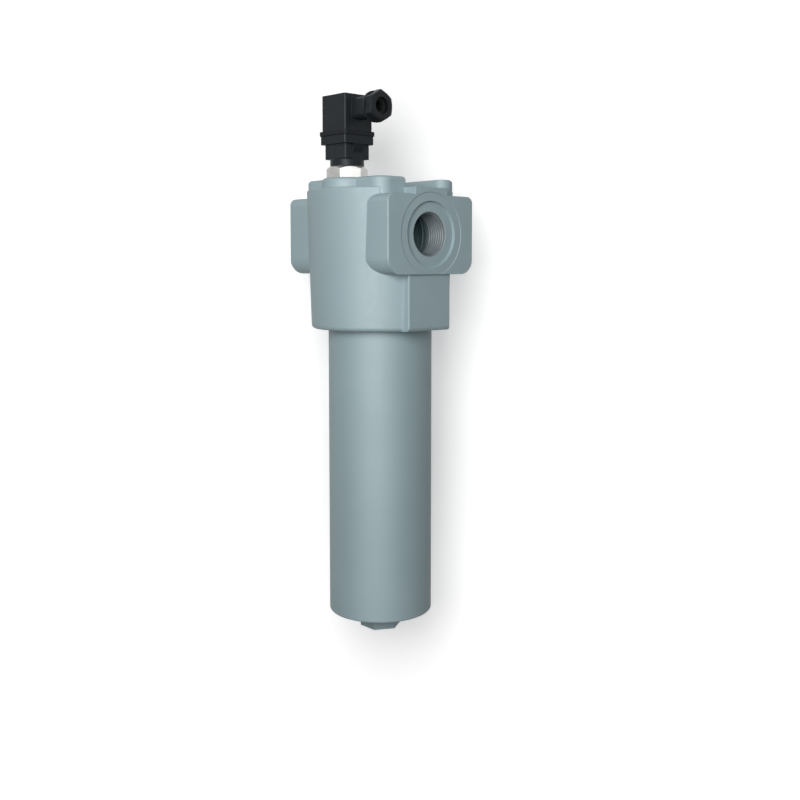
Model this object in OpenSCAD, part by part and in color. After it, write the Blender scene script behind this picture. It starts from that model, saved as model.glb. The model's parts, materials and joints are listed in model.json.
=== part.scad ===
// High pressure in-line filter with a clogging indicator.
// Millimetres. The origin is the centre of the flat top face of the head, +Z up.
// The ports lie along X, the indicator stands on the -Y side of the top face.

/* [Head] */
// Height of the cast head, from its top face to its foot
head_h = 113.4; // [110:0.1:125]
// Radius of the round body under the shoulder
head_r = 56.2; // [54:0.1:60]
// How much the round body tapers in from the shoulder to the foot
head_draft = 3; // [0:0.1:4]
// Rounding at the foot of the head
foot_round = 3.3; // [1:0.1:6]
// Rounding of the shoulder round the top of the body
shoulder_round = 1.5; // [0.5:0.1:4]
// Height of the raised mounting face over the shoulder
plateau_h = 7.8; // [5:0.1:10]
// Size of the mounting face along X
plateau_x = 90; // [84:0.5:92]
// Size of the mounting face along Y
plateau_y = 80; // [76:0.5:90]
// Rounding of the mounting face's outer corners, seen from above
plateau_round = 10.5; // [4:0.5:12]
// Distance from the centre to the front wall of the channel between the two rails
channel_front = 15.5; // [10:0.5:16]
// Distance from the centre to the rear wall of that channel
channel_rear = 22.5; // [20:0.5:25]
// Rounding of the rear rail's inner corners, seen from above
lobe_round = 8.5; // [2:0.5:9]
// Rounding of the rails' upper edges
rail_round = 2.5; // [0.5:0.1:3]
// Thickness of metal over the chamber
roof_t = 20; // [19:0.1:21]
// Radius of the inlet chamber round the element's spigot
chamber_r = 35; // [34:0.1:35.5]
// Depth of the chamber's lower end under the top face
chamber_depth = 70; // [68:0.5:73]

/* [Ports] */
// Depth of the port axis under the top face
port_drop = 42.1; // [41:0.1:44]
// Distance from the centre to each port face
port_face = 57; // [56:0.1:60]
// Width of the port block along Y
block_w = 87.6; // [80:0.1:90]
// Height of the port block
block_h = 58.3; // [56:0.1:60]
// Corner radius at the bottom of the port block
block_round = 12.5; // [6:0.1:15]
// Corner radius at the top of the port block
block_top_round = 6.5; // [3:0.1:8]
// Width of the rib that rises from the port block to the shoulder
column_w = 33; // [28:0.5:36]
// Width of the pad under the port block
pad_w = 42.8; // [38:0.1:46]
// How far the pad's face is set back from the port face
pad_set_back = 2.1; // [1:0.1:3]
// Corner radius of the pad
pad_round = 0.8; // [0.5:0.1:3]
// Rounding of the port block's upright edges
face_round = 1; // [0.5:0.1:3]
// Diameter of the port thread at its crests in the head
port_thread_d = 33.2; // [30:0.1:34]
// Metal between the inner end of the port thread and the chamber
port_shoulder = 0.5; // [0.3:0.1:1]
// Width of the step at the inner end of the port thread
port_step = 1.4; // [1:0.1:2]
// Diameter of the counterbore round the port thread
spot_d = 48.8; // [44:0.1:52]
// Depth of that counterbore
spot_depth = 2.5; // [1:0.1:3]
// Diameter of the shallow machined ring on the port face
ring_d = 62; // [56:0.5:62]
// Depth of the shallow machined ring
ring_depth = 0.4; // [0.2:0.1:0.8]

/* [Mounting holes] */
// Spacing of the tapped holes along X
mount_x = 69; // [66:0.5:70]
// Spacing of the tapped holes along Y
mount_y = 59; // [56:0.5:61]
// Diameter of the tapped holes
mount_d = 8; // [6:0.1:9]
// Depth of the tapped holes
mount_depth = 14; // [10:0.5:16]

/* [Bowl] */
// Outer diameter of the bowl
bowl_d = 80.4; // [80:0.1:82]
// Length of the bowl below the head, without its hexagon
bowl_l = 222.7; // [200:0.1:260]
// Inner diameter of the bowl
bowl_bore = 62; // [61:0.5:64]
// Thickness of the closed end
bowl_floor = 14; // [10:0.5:20]
// Rounding at the rim of the closed end
bowl_rim = 1.5; // [0.5:0.1:4]
// Rounding inside the closed end
bowl_floor_round = 8; // [2:0.5:12]
// Diameter of the bowl's thread
bowl_thread_d = 78; // [76:0.1:79]
// Length of the bowl's thread
bowl_thread_l = 20; // [15:0.5:21]
// Diameter of the sealing neck above the thread
neck_d = 73; // [72:0.1:74]
// Radial clearance of the neck and the thread in the head
bowl_fit = 0.06; // [0.02:0.01:0.1]
// Gap between the bowl's shoulder and the foot of the head
bowl_gap = 0.3; // [0.2:0.1:0.5]
// Width across the flats of the bowl's hexagon
hex_af = 28; // [24:0.5:36]
// Height of the bowl's hexagon
hex_h = 14.2; // [10:0.1:20]
// Width of the seal groove in the neck
groove_w = 5.2; // [5:0.1:6]
// Depth of the seal groove in the neck
groove_d = 2.9; // [2.6:0.1:3]
// Distance from the top of the neck to the seal groove
groove_drop = 7.4; // [5:0.1:9]
// Thickness of the anti-extrusion ring beside the seal
backup_t = 1.4; // [1:0.1:1.6]

/* [Element] */
// Diameter of the spigot that carries the element
spigot_d = 32; // [30:0.1:33]
// Diameter of the clean oil bore in the spigot
clean_bore = 24; // [22:0.1:24.5]
// Depth of the spigot's end under the top face
spigot_depth = 90; // [86:0.5:94]
// Diameter of the element's end caps
cap_d = 57; // [56:0.1:58]
// Depth of the element's upper end under the top face
cap_depth = 74; // [73:0.5:76]
// Gap between the element and the floor of the bowl
element_gap = 10.4; // [8:0.1:40]
// Thickness of the end caps' plates
cap_t = 3; // [2:0.1:4]
// Height of the end caps' rims
cap_rim = 10; // [9:0.5:14]
// Wall of the end caps' rims
cap_wall = 1.2; // [0.8:0.1:1.4]
// Outer diameter of the perforated support tube
tube_d = 40; // [39.6:0.1:41]
// Wall of the support tube
tube_wall = 1.2; // [0.8:0.1:1.3]
// Diameter of the support tube's holes
tube_hole = 5; // [2:0.5:6]
// Rows of holes along the support tube
tube_rows = 16; // [4:1:18]
// Outer diameter of the pleated filter medium
media_d = 53.8; // [50:0.1:54]
// Inner diameter of the pleated filter medium
media_bore = 40.6; // [40.5:0.1:42]
// Number of pleats
pleats = 44; // [20:1:48]
// Radial clearance of the element's collar on the spigot
spigot_fit = 0.1; // [0.05:0.01:0.2]

/* [Bypass valve] */
// Outer diameter of the valve seat
seat_d = 18; // [16:0.1:20]
// Bore of the valve seat
seat_bore = 10; // [8:0.1:11]
// Length of the valve seat
seat_l = 8; // [7:0.1:9]
// Diameter of the poppet's head
poppet_d = 14; // [12.5:0.1:15]
// Thickness of the poppet's head
poppet_t = 2.5; // [2:0.1:4]
// Diameter of the poppet's stem
stem_d = 5; // [4:0.1:6]
// Length of the poppet's stem
stem_l = 27; // [26:0.5:30]
// Thickness of the spring's retainer
retainer_t = 3; // [2:0.1:4]
// Mean diameter of the bypass spring
bypass_spring_d = 10; // [9:0.1:11]
// Wire of the bypass spring
bypass_wire = 1.4; // [0.8:0.1:1.6]
// Gap between the closed poppet and its seat
poppet_gap = 0.2; // [0.1:0.05:0.3]

/* [Indicator] */
// Distance from the side of the round body in to the indicator's axis
indicator_inset = 23.2; // [22.2:0.1:24.2]
// Radius of the raised boss under the indicator
boss_r = 18.7; // [16:0.1:20]
// Width across the flats of the indicator's hexagon
indicator_af = 27; // [26:0.5:28]
// Height of the indicator's hexagon
indicator_hex_h = 8.7; // [7:0.1:10]
// Diameter of the indicator's thread
indicator_thread_d = 20; // [19:0.1:21]
// Length of the indicator's threaded shank
indicator_shank = 15.5; // [15:0.1:16]
// Bore that the indicator's piston slides in
piston_bore = 9.2; // [8.8:0.1:9.4]
// Radial clearance of the piston
piston_fit = 0.04; // [0.02:0.01:0.1]
// Length of the piston's land
piston_l = 5; // [4:0.1:5.5]
// Diameter of the magnet on the piston
magnet_d = 5.2; // [4.5:0.1:5.4]
// Thickness of the magnet
magnet_t = 2; // [1.5:0.1:2.5]
// Wire of the piston's spring
piston_wire = 0.7; // [0.4:0.1:0.7]
// Thickness of the pressure wall between piston and switch
wall_t = 1.5; // [1:0.1:2]
// Diameter of the switch pocket over the pressure wall
pocket_d = 16; // [14:0.1:17]
// Thickness of the seal under the hexagon
indicator_seal_t = 2; // [1.5:0.1:2.4]

/* [Switch housing] */
// Diameter of the round neck
switch_neck_d = 25.4; // [24:0.1:26]
// Height of the round neck
switch_neck_h = 5.2; // [4:0.1:6]
// Width of the ribbed collar
collar_w = 24.2; // [23:0.1:26]
// Height of the ribbed collar
collar_h = 10.8; // [9:0.1:12]
// Number of ribs on each ribbed face
collar_ribs = 9; // [3:1:9]
// Width of the square base
base_w = 28.9; // [27.8:0.1:30]
// Height of the square base
base_h = 6.3; // [5:0.1:8]
// Width of the square seal between base and plug
gasket_w = 30.4; // [28:0.1:32]
// Thickness of that seal
gasket_t = 3.2; // [2:0.1:4]
// Distance of each contact blade from the axis
blade_y = 7.6; // [7:0.1:8]
// Width of a contact blade
blade_w = 6.3; // [4:0.1:6.4]
// Thickness of a contact blade
blade_t = 0.8; // [0.6:0.1:1]
// Height of the blades over the base
blade_h = 13; // [10:0.1:14]

/* [Plug] */
// Width of the plug
plug_w = 27.2; // [27:0.1:28.5]
// Height of the plug over its seal
plug_h = 26.4; // [26:0.1:30]
// Corner radius of the plug
plug_round = 2; // [1:0.1:3]
// Wall of the plug
plug_wall = 2; // [1.5:0.1:2.2]
// Height of the terminal insert
insert_h = 13.5; // [13:0.1:15]
// Depth of the cable outlet's axis under the plug's top
outlet_drop = 10.7; // [10.4:0.1:12]
// Width of the square outlet neck
outlet_w = 15; // [13.5:0.1:16]
// Distance from the plug's axis to the end of the square outlet neck
outlet_reach = 30; // [26:0.1:34]
// Diameter of the collar behind the gland nut
outlet_ring_d = 22.6; // [20:0.1:23]
// Thickness of that collar
outlet_ring_t = 2; // [1:0.1:3]
// Diameter of the gland's threaded spout
spout_d = 15; // [14:0.1:16]
// Length of the gland's threaded spout
spout_l = 3.2; // [3:0.1:5]
// Bore for the cable
cable_bore = 9; // [8:0.1:10]
// Width across the flats of the gland nut
nut_af = 20.5; // [20:0.1:22]
// Length of the gland nut
nut_l = 6.6; // [6.4:0.1:9]
// Mouth of the gland nut
nut_mouth = 12; // [9:0.1:12.5]
// Bore of the gland's rubber seal
seal_bore = 7; // [5:0.1:8]
// Length of the gland's rubber seal
gland_seal_l = 7; // [5:0.1:8]
// Diameter of the fixing screw's shank
screw_d = 3; // [2.5:0.1:3]
// Diameter of the fixing screw's head
screw_head_d = 7; // [6:0.1:7.5]
// Height of the fixing screw's head
screw_head_h = 2.4; // [2:0.1:2.6]

/* [Hidden] */
$fn = 64;

paint = [0.52, 0.6, 0.63];
steel = [0.72, 0.73, 0.74];
bright = [0.86, 0.86, 0.84];
rubber = [0.1, 0.1, 0.1];
black_plastic = [0.15, 0.17, 0.18];
paper = [0.88, 0.86, 0.78];
brass = [0.78, 0.66, 0.36];

// A cut runs past a face by this much, so that no skin is left
over = 1;
// Running clearance between pieces that only lie near each other
clear = 0.3;
// Running clearance of threads, pins and guides
fit = 0.05;
// Clearance of a ring that is pressed into its bore
press_gap = 0.02;
// Gap at each end of a spring
spring_gap = 0.1;

// Head levels, measured up from the top face
shoulder_z = -plateau_h;
foot_z = -head_h;
port_z = -port_drop;
roof_z = -roof_t;
chamber_z = -chamber_depth;
head_low_r = head_r - head_draft;
block_sink = 0.25;
block_z = port_z - block_h/2 - block_sink;
block_top_z = block_z + block_h;
shoulder_x = plateau_x/2 - plateau_round/3;
pad_x = port_face - pad_set_back;
port_r = port_thread_d/2;
spot_r = spot_d/2;
thread_end_x = chamber_r + port_shoulder;
port_step_r = port_r - port_step;
hub_wall = 3;
hub_r = spigot_d/2 + hub_wall;
hub_z = chamber_z + 4;
outlet_wall = 2;
outlet_tube_r = port_r + outlet_wall;
clean_r = clean_bore/2;
clean_top_z = port_z + clean_r + 2;

// Bowl levels
bowl_top_z = foot_z - bowl_gap;
bowl_end_z = bowl_top_z - bowl_l;
bowl_r = bowl_d/2;
bowl_bore_r = bowl_bore/2;
bowl_thread_r = bowl_thread_d/2;
thread_low_z = foot_z + 1.5;
thread_top_z = thread_low_z + bowl_thread_l;
neck_r = neck_d/2;
neck_top_z = chamber_z - 2;
groove_top_z = neck_top_z - groove_drop;
groove_r = neck_r - groove_d;
seal_space = groove_d + bowl_fit;
bowl_seal_r = seal_space/2 - fit;
bowl_seal_mid = groove_r + seal_space/2;

// Element levels
cap_top_z = -cap_depth;
cap_r = cap_d/2;
cap_bottom_z = bowl_end_z + bowl_floor + element_gap;
element_l = cap_top_z - cap_bottom_z;
tube_r = tube_d/2;
collar_r = tube_r - tube_wall - spigot_fit;
spigot_r = spigot_d/2;
element_ring_z = cap_top_z - cap_rim/2;
element_ring_w = 2.6;
element_ring_d = 1.6;
media_top_z = cap_top_z - cap_t;
media_l = element_l - 2*cap_t;

// Bypass valve stations along X, from the head's axis
seat_x = clean_r - 1;
poppet_face_x = seat_x - poppet_gap;
poppet_back_x = poppet_face_x - poppet_t;
retainer_x = -clean_r - 1;
bypass_turns = 6;

// Indicator place and levels
indicator_y = head_r - indicator_inset;
wall_low_z = -0.5;
wall_top_z = wall_low_z + wall_t;
piston_r = piston_bore/2 - piston_fit;
piston_low_z = -indicator_shank + 2.3;
piston_top_z = piston_low_z + piston_l;
magnet_z = piston_top_z + 3.2;
stop_t = 1;
piston_turns = 5;
reed_d = 2.6;
reed_l = 11;
thread_r = indicator_thread_d/2;
seal_recess_r = thread_r + 2.8;
low_port_z = -6;
low_port_h = 3;
clean_drill_r = 1.2;
inlet_drill_r = 1.5;
inlet_drill_y = 2;
neck_z = indicator_hex_h;
collar_z = neck_z + switch_neck_h;
base_z = collar_z + collar_h;
gasket_z = base_z + base_h;
plug_z = gasket_z + gasket_t;
plug_top_z = plug_z + plug_h;
rib_t = 0.5;
blade_r = blade_y;
insert_w = plug_w - 2*plug_wall - 0.2;
screw_seat_z = plug_top_z - screw_head_h - 0.9;
screw_hole_depth = 5;
screw_seal_t = 0.6;
terminal_r = 6.5;
terminal_h = 1.6;
terminal_d = 4;

// Gland stations along X, from the plug's axis
outlet_z = plug_top_z - outlet_drop;
ring_x = outlet_reach;
spout_x = ring_x + outlet_ring_t;
spout_end_x = spout_x + spout_l;
nut_x = spout_x + clear;
nut_end_x = nut_x + nut_l;
seal_pocket_d = spout_d - 2.6;
washer_t = 0.8;

// Points along an arc of a profile
function arc(x, y, r, a0, a1, n = 8) =
    [for (i = [0:n]) let (a = a0 + (a1 - a0)*i/n) [x + r*cos(a), y + r*sin(a)]];

// A rectangle centred on the origin with round corners
module soft_rect(w, h, r) {
    square([w - 2*r, h], center = true);
    square([w, h - 2*r], center = true);
    for (x = [-1, 1], y = [-1, 1]) translate([x*(w/2 - r), y*(h/2 - r)]) circle(r);
}

// Outline drawn in the YZ plane, pulled along X to both sides
module along_x(length) {
    rotate([90, 0, 90]) linear_extrude(length, center = true) children();
}

// Outline drawn in the XZ plane, pulled along Y to both sides
module along_y(length) {
    rotate([90, 0, 0]) linear_extrude(length, center = true) children();
}

// Cylinder along +X that starts at x
module rod_x(x, length, r) {
    translate([x, 0, 0]) rotate([0, 90, 0]) cylinder(h = length, r = r);
}

// Ring round Z between two radii, with its lower face at z
module ring_z(z, h, r_out, r_in) {
    translate([0, 0, z]) difference() {
        cylinder(h = h, r = r_out);
        translate([0, 0, -over]) cylinder(h = h + 2*over, r = r_in);
    }
}

// Ring round X between two radii, with its lower face at x
module ring_x(x, h, r_out, r_in) {
    rotate([0, 90, 0]) ring_z(x, h, r_out, r_in);
}

// Everything of the indicator stands on its own axis
module at_indicator() {
    translate([0, -indicator_y, 0]) children();
}

// Everything of the cable outlet lies on the outlet's own axis
module at_outlet() {
    translate([0, -indicator_y, outlet_z]) children();
}

// Wire wound round Z from its lower end at the origin, with sides flats round the wire
function wire_point(mean_r, wire, turns, length, i, j, sides, steps) =
    let (a = 360*i/steps, b = 360*j/sides, z = wire/2 + (length - wire)*i/(turns*steps))
    [(mean_r + wire/2*cos(b))*cos(a), (mean_r + wire/2*cos(b))*sin(a), z + wire/2*sin(b)];

module coil(mean_r, wire, turns, length, sides = 8, steps = 16) {
    rings = turns*steps;
    points = [for (i = [0:rings], j = [0:sides - 1])
        wire_point(mean_r, wire, turns, length, i, j, sides, steps)];
    skin = [for (i = [0:rings - 1], j = [0:sides - 1])
        let (k = (j + 1)%sides) [i*sides + j, i*sides + k, (i + 1)*sides + k, (i + 1)*sides + j]];
    first = [for (j = [0:sides - 1]) sides - 1 - j];
    last = [for (j = [0:sides - 1]) rings*sides + j];
    polyhedron(points, concat([first], skin, [last]));
}

// Round body with its draft, its rounded foot and its shoulder, which ends flat over the port blocks
module head_round() {
    side_x = head_r + over;
    intersection() {
        rotate_extrude() polygon(concat(
            [[0, foot_z]],
            arc(head_low_r - foot_round, foot_z + foot_round, foot_round, -90, 0),
            arc(head_r - shoulder_round, shoulder_z - shoulder_round, shoulder_round, 0, 90),
            [[0, shoulder_z]]
        ));
        along_y(2*side_x) polygon([
            [-side_x, foot_z - over], [side_x, foot_z - over], [side_x, block_top_z],
            [shoulder_x, block_top_z], [shoulder_x, 0],
            [-shoulder_x, 0], [-shoulder_x, block_top_z], [-side_x, block_top_z]
        ]);
    }
}

// Outline of both port blocks with the rib that rises to the shoulder
module port_outline() {
    top = block_top_z;
    half = block_w/2;
    polygon(concat(
        arc(-half + block_round, block_z + block_round, block_round, 180, 270),
        arc(half - block_round, block_z + block_round, block_round, 270, 360),
        arc(half - block_top_round, top - block_top_round, block_top_round, 0, 90),
        [[column_w/2, top], [column_w/2, shoulder_z], [-column_w/2, shoulder_z], [-column_w/2, top]],
        arc(-half + block_top_round, top - block_top_round, block_top_round, 90, 180)
    ));
}

module pads() {
    pad_h = port_z - foot_z;
    intersection() {
        translate([0, 0, foot_z]) linear_extrude(pad_h) soft_rect(2*pad_x, pad_w, pad_round);
        along_y(pad_w + 2*over) polygon(concat(
            arc(pad_x - foot_round, foot_z + foot_round, foot_round, -90, 0),
            [[pad_x, port_z + over], [-pad_x, port_z + over]],
            arc(-pad_x + foot_round, foot_z + foot_round, foot_round, 180, 270)
        ));
    }
}

// Outline of a bar between a and b that stands on the shoulder, with both upper edges rounded
function rail_outline(a, b) = concat(
    [[a, shoulder_z - shoulder_round], [b, shoulder_z - shoulder_round]],
    arc(b - rail_round, -rail_round, rail_round, 0, 90, 6),
    arc(a + rail_round, -rail_round, rail_round, 90, 180, 6)
);

// Plan of the rear rail's inner corner, cut round
module lobe_corner() {
    difference() {
        translate([plateau_x/2 - lobe_round, channel_rear - over]) square([head_r, lobe_round + over]);
        translate([plateau_x/2 - lobe_round, channel_rear + lobe_round]) circle(lobe_round);
    }
}

// Round post from below the shoulder up to the top face, with its upper edge rounded
module post(r) {
    rotate_extrude() polygon(concat(
        [[0, shoulder_z - shoulder_round], [r, shoulder_z - shoulder_round]],
        arc(r - rail_round, -rail_round, rail_round, 0, 90, 6),
        [[0, 0]]
    ));
}

// The raised rectangle before its channel is cut, with round corners and rounded upper edges
module plateau() {
    lobe_x = plateau_x/2 - plateau_round;
    lobe_y = plateau_y/2 - plateau_round;
    along_x(2*lobe_x) polygon(rail_outline(-plateau_y/2, plateau_y/2));
    along_y(2*lobe_y) polygon(rail_outline(-plateau_x/2, plateau_x/2));
    for (x = [-lobe_x, lobe_x], y = [-lobe_y, lobe_y]) translate([x, y, 0]) post(plateau_round);
}

// Two machined rails on top with a channel between them, on walls that run down to the port blocks
module rails() {
    difference() {
        intersection() {
            plateau();
            along_x(plateau_x + 2*over) {
                polygon(rail_outline(-plateau_y, -channel_front));
                polygon(rail_outline(channel_rear, plateau_y));
            }
        }
        for (side = [0, 1]) mirror([side, 0, 0])
            translate([0, 0, shoulder_z]) linear_extrude(plateau_h + over) lobe_corner();
    }
    translate([0, 0, block_top_z - over]) linear_extrude(shoulder_z - block_top_z + over)
        soft_rect(plateau_x, plateau_y, plateau_round);
    at_indicator() post(boss_r);
}

// Hub, spigot and outlet channel left standing in the chamber
module head_core() {
    translate([0, 0, hub_z]) cylinder(h = -hub_z, r = hub_r);
    translate([0, 0, -spigot_depth]) cylinder(h = spigot_depth, r = spigot_r);
    translate([0, 0, port_z]) rod_x(-head_r, head_r, outlet_tube_r);
}

// Space for dirty oil, the bowl's neck and the bowl's thread
module chamber_cut() {
    difference() {
        union() {
            translate([0, 0, chamber_z - over])
                cylinder(h = roof_z - chamber_z + over, r = chamber_r);
            translate([0, 0, thread_top_z + 1])
                cylinder(h = chamber_z - thread_top_z - 1, r = neck_r + bowl_fit);
            translate([0, 0, foot_z - over])
                cylinder(h = thread_top_z + 2 - foot_z + over, r = bowl_thread_r + bowl_fit);
        }
        head_core();
    }
}

module port_cut() {
    translate([0, 0, port_z]) {
        rod_x(thread_end_x, port_face - thread_end_x + over, port_r);
        rod_x(port_face - spot_depth, spot_depth + over, spot_r);
        rod_x(port_face - ring_depth, ring_depth + over, ring_d/2);
    }
}

module indicator_cut() {
    at_indicator() {
        translate([0, 0, -indicator_shank - clear])
            cylinder(h = indicator_shank + clear + over, r = thread_r + fit);
        translate([0, 0, -indicator_seal_t - 2*fit])
            cylinder(h = indicator_seal_t + 2*fit + over, r = seal_recess_r);
        translate([0, inlet_drill_y, roof_z - over])
            cylinder(h = roof_t - indicator_shank + over, r = inlet_drill_r);
    }
    // Drilling from the indicator down into the clean oil bore
    translate([0, thread_r - indicator_y - over, low_port_z]) rotate([-135, 0, 0])
        cylinder(h = (low_port_z - clean_top_z)*sqrt(2) + 2*over, r = clean_drill_r);
}

module filter_head() {
    color(paint) difference() {
        union() {
            head_round();
            intersection() {
                along_x(2*port_face) port_outline();
                translate([0, 0, foot_z]) linear_extrude(head_h) soft_rect(2*port_face, block_w, face_round);
            }
            pads();
            rails();
        }
        chamber_cut();
        translate([0, 0, -spigot_depth - over]) cylinder(h = clean_top_z + spigot_depth + over, r = clean_r);
        translate([0, 0, port_z]) rod_x(-thread_end_x - over, thread_end_x + over, clean_r);
        for (side = [0, 1]) mirror([side, 0, 0]) port_cut();
        translate([0, 0, port_z])
            rod_x(chamber_r - port_step_r/2, thread_end_x - chamber_r + port_step_r, port_step_r);
        translate([0, 0, port_z]) rod_x(0, hub_r + over, seat_d/2 + fit);
        indicator_cut();
        for (x = [-1, 1], y = [-1, 1]) translate([x*mount_x/2, y*mount_y/2, -mount_depth])
            cylinder(h = mount_depth + over, r = mount_d/2);
    }
}

// Turned bowl with its seal groove, thread, closed end and hexagon
module filter_bowl() {
    floor_z = bowl_end_z + bowl_floor;
    color(paint) {
        rotate_extrude() polygon(concat(
            [[0, floor_z]],
            arc(bowl_bore_r - bowl_floor_round, floor_z + bowl_floor_round, bowl_floor_round, -90, 0),
            [[bowl_bore_r, neck_top_z], [neck_r - 1, neck_top_z], [neck_r, neck_top_z - 1]],
            [[neck_r, groove_top_z], [groove_r, groove_top_z]],
            [[groove_r, groove_top_z - groove_w], [neck_r, groove_top_z - groove_w]],
            [[neck_r, thread_top_z], [bowl_thread_r, thread_top_z]],
            [[bowl_thread_r, thread_low_z], [bowl_thread_r - 1, thread_low_z - 0.5]],
            [[bowl_thread_r - 1, bowl_top_z], [bowl_r, bowl_top_z]],
            arc(bowl_r - bowl_rim, bowl_end_z + bowl_rim, bowl_rim, 0, -90),
            [[0, bowl_end_z]]
        ));
        translate([0, 0, bowl_end_z - hex_h]) cylinder(h = hex_h + over, r = hex_af/2/cos(30), $fn = 6);
    }
}

module bowl_o_ring() {
    color(rubber) translate([0, 0, groove_top_z - bowl_seal_r - 0.15])
        rotate_extrude() translate([bowl_seal_mid, 0]) circle(bowl_seal_r, $fn = 24);
}

module bowl_backup_ring() {
    color("ivory") ring_z(groove_top_z - groove_w + 0.1, backup_t, neck_r + bowl_fit - fit, groove_r + fit);
}

// Upper cap: plate and rim over the pleats, with a grooved collar that slides on the spigot
module element_top_cap() {
    inner = spigot_r + spigot_fit;
    groove = inner + element_ring_d - spigot_fit;
    low = cap_top_z - cap_rim;
    color(steel) rotate_extrude() polygon([
        [inner, cap_top_z], [cap_r, cap_top_z], [cap_r, low], [cap_r - cap_wall, low],
        [cap_r - cap_wall, cap_top_z - cap_t], [collar_r, cap_top_z - cap_t], [collar_r, low], [inner, low],
        [inner, element_ring_z - element_ring_w/2], [groove, element_ring_z - element_ring_w/2],
        [groove, element_ring_z + element_ring_w/2], [inner, element_ring_z + element_ring_w/2]
    ]);
}

module element_o_ring() {
    wire_r = element_ring_d/2 - 0.02;
    color(rubber) translate([0, 0, element_ring_z])
        rotate_extrude() translate([spigot_r + 0.01 + wire_r, 0]) circle(wire_r, $fn = 24);
}

module element_support_tube() {
    pitch = (media_l - 2*cap_rim)/tube_rows;
    color(steel) difference() {
        ring_z(media_top_z - media_l, media_l, tube_r, tube_r - tube_wall);
        for (row = [0:tube_rows - 1], turn = [0:1])
            translate([0, 0, media_top_z - cap_rim - pitch*(row + 0.5)]) rotate([0, 0, 90*turn + 45*(row%2)])
                rotate([0, 90, 0]) cylinder(h = 2*tube_r + 2*over, r = tube_hole/2, center = true);
    }
}

// Star outline of a pleated ring: crests and roots are short flats
function pleat_outline(r_root, r_crest) = [for (i = [0:pleats - 1], k = [0:3])
    let (a = 360*(i + [0, 0.12, 0.5, 0.62][k])/pleats, r = k < 2 ? r_root : r_crest)
    [r*cos(a), r*sin(a)]];

module pleated_media() {
    layer = 0.55;
    color(paper) translate([0, 0, media_top_z - media_l]) linear_extrude(media_l) difference() {
        polygon(pleat_outline(media_bore/2 + layer, media_d/2));
        polygon(pleat_outline(media_bore/2, media_d/2 - layer));
    }
}

module element_bottom_cap() {
    high = cap_bottom_z + cap_rim;
    color(steel) rotate_extrude() polygon([
        [0, cap_bottom_z], [cap_r, cap_bottom_z], [cap_r, high], [cap_r - cap_wall, high],
        [cap_r - cap_wall, cap_bottom_z + cap_t], [0, cap_bottom_z + cap_t]
    ]);
}

module bypass_seat() {
    color(steel) translate([0, 0, port_z]) ring_x(seat_x, seat_l, seat_d/2, seat_bore/2);
}

module bypass_poppet() {
    color(steel) translate([0, 0, port_z]) {
        rod_x(poppet_back_x, poppet_t, poppet_d/2);
        rod_x(poppet_face_x - stem_l, stem_l, stem_d/2);
    }
}

module bypass_spring() {
    room = poppet_back_x - retainer_x - 2*spring_gap;
    color(bright) translate([retainer_x + spring_gap, 0, port_z]) rotate([0, 90, 0])
        coil(bypass_spring_d/2, bypass_wire, bypass_turns, room);
}

// Guide disc across the clean oil channel, with a ring of flow holes
module bypass_retainer() {
    hub_edge = bypass_spring_d/2 + bypass_wire/2;
    hole_r = (clean_r - hub_edge)/2 - 0.8;
    color(steel) translate([retainer_x - retainer_t/2, 0, port_z]) along_x(retainer_t) difference() {
        circle(clean_r - press_gap);
        circle(stem_d/2 + fit);
        for (a = [0:60:300]) rotate(a) translate([(clean_r + hub_edge)/2, 0]) circle(hole_r);
    }
}

// Threaded body: hexagon, shank, piston bore below the pressure wall and switch pocket above it
module indicator_body() {
    hex_r = indicator_af/2/cos(30);
    color(bright) at_indicator() difference() {
        union() {
            intersection() {
                cylinder(h = indicator_hex_h, r = hex_r, $fn = 6);
                rotate_extrude() polygon([
                    [0, 0], [hex_r, 0], [hex_r, indicator_hex_h - 2.2],
                    [indicator_af/2 - 0.8, indicator_hex_h], [0, indicator_hex_h]
                ]);
            }
            translate([0, 0, -indicator_shank]) cylinder(h = indicator_shank + over, r = thread_r);
        }
        translate([0, 0, -indicator_shank - over])
            cylinder(h = indicator_shank + over + wall_low_z, r = piston_bore/2);
        translate([0, 0, wall_top_z]) cylinder(h = indicator_hex_h, r = pocket_d/2);
        ring_z(low_port_z - low_port_h/2, low_port_h, thread_r + over, thread_r - 1);
        translate([0, 0, low_port_z]) rotate([90, 0, 0]) cylinder(h = 2*thread_r, r = 1, center = true);
    }
}

module indicator_seal() {
    color(rubber) at_indicator()
        ring_z(-indicator_seal_t, indicator_seal_t - 0.05, seal_recess_r - fit, thread_r + fit);
}

module indicator_piston() {
    color(steel) at_indicator() {
        translate([0, 0, piston_low_z]) cylinder(h = piston_l, r = piston_r);
        translate([0, 0, piston_low_z]) cylinder(h = magnet_z - piston_low_z, r = magnet_d/2);
    }
}

module piston_magnet() {
    color([0.3, 0.3, 0.32]) at_indicator() translate([0, 0, magnet_z]) cylinder(h = magnet_t, r = magnet_d/2);
}

module piston_spring() {
    mean_r = (piston_bore + magnet_d)/4;
    color(bright) at_indicator() translate([0, 0, piston_top_z + spring_gap])
        coil(mean_r, piston_wire, piston_turns, wall_low_z - piston_top_z - 2*spring_gap);
}

// Ring pressed into the end of the piston's bore
module piston_stop() {
    color(steel) at_indicator()
        ring_z(-indicator_shank + 0.5, stop_t, piston_bore/2 - press_gap, piston_bore/2 - 2);
}

module reed_switch() {
    color([0.6, 0.7, 0.6]) at_indicator() translate([0, 0, wall_top_z]) {
        cylinder(h = reed_l, r = reed_d/2);
        translate([0, 0, reed_l - over]) cylinder(h = 3 + over, r = 0.4);
    }
}

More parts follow.
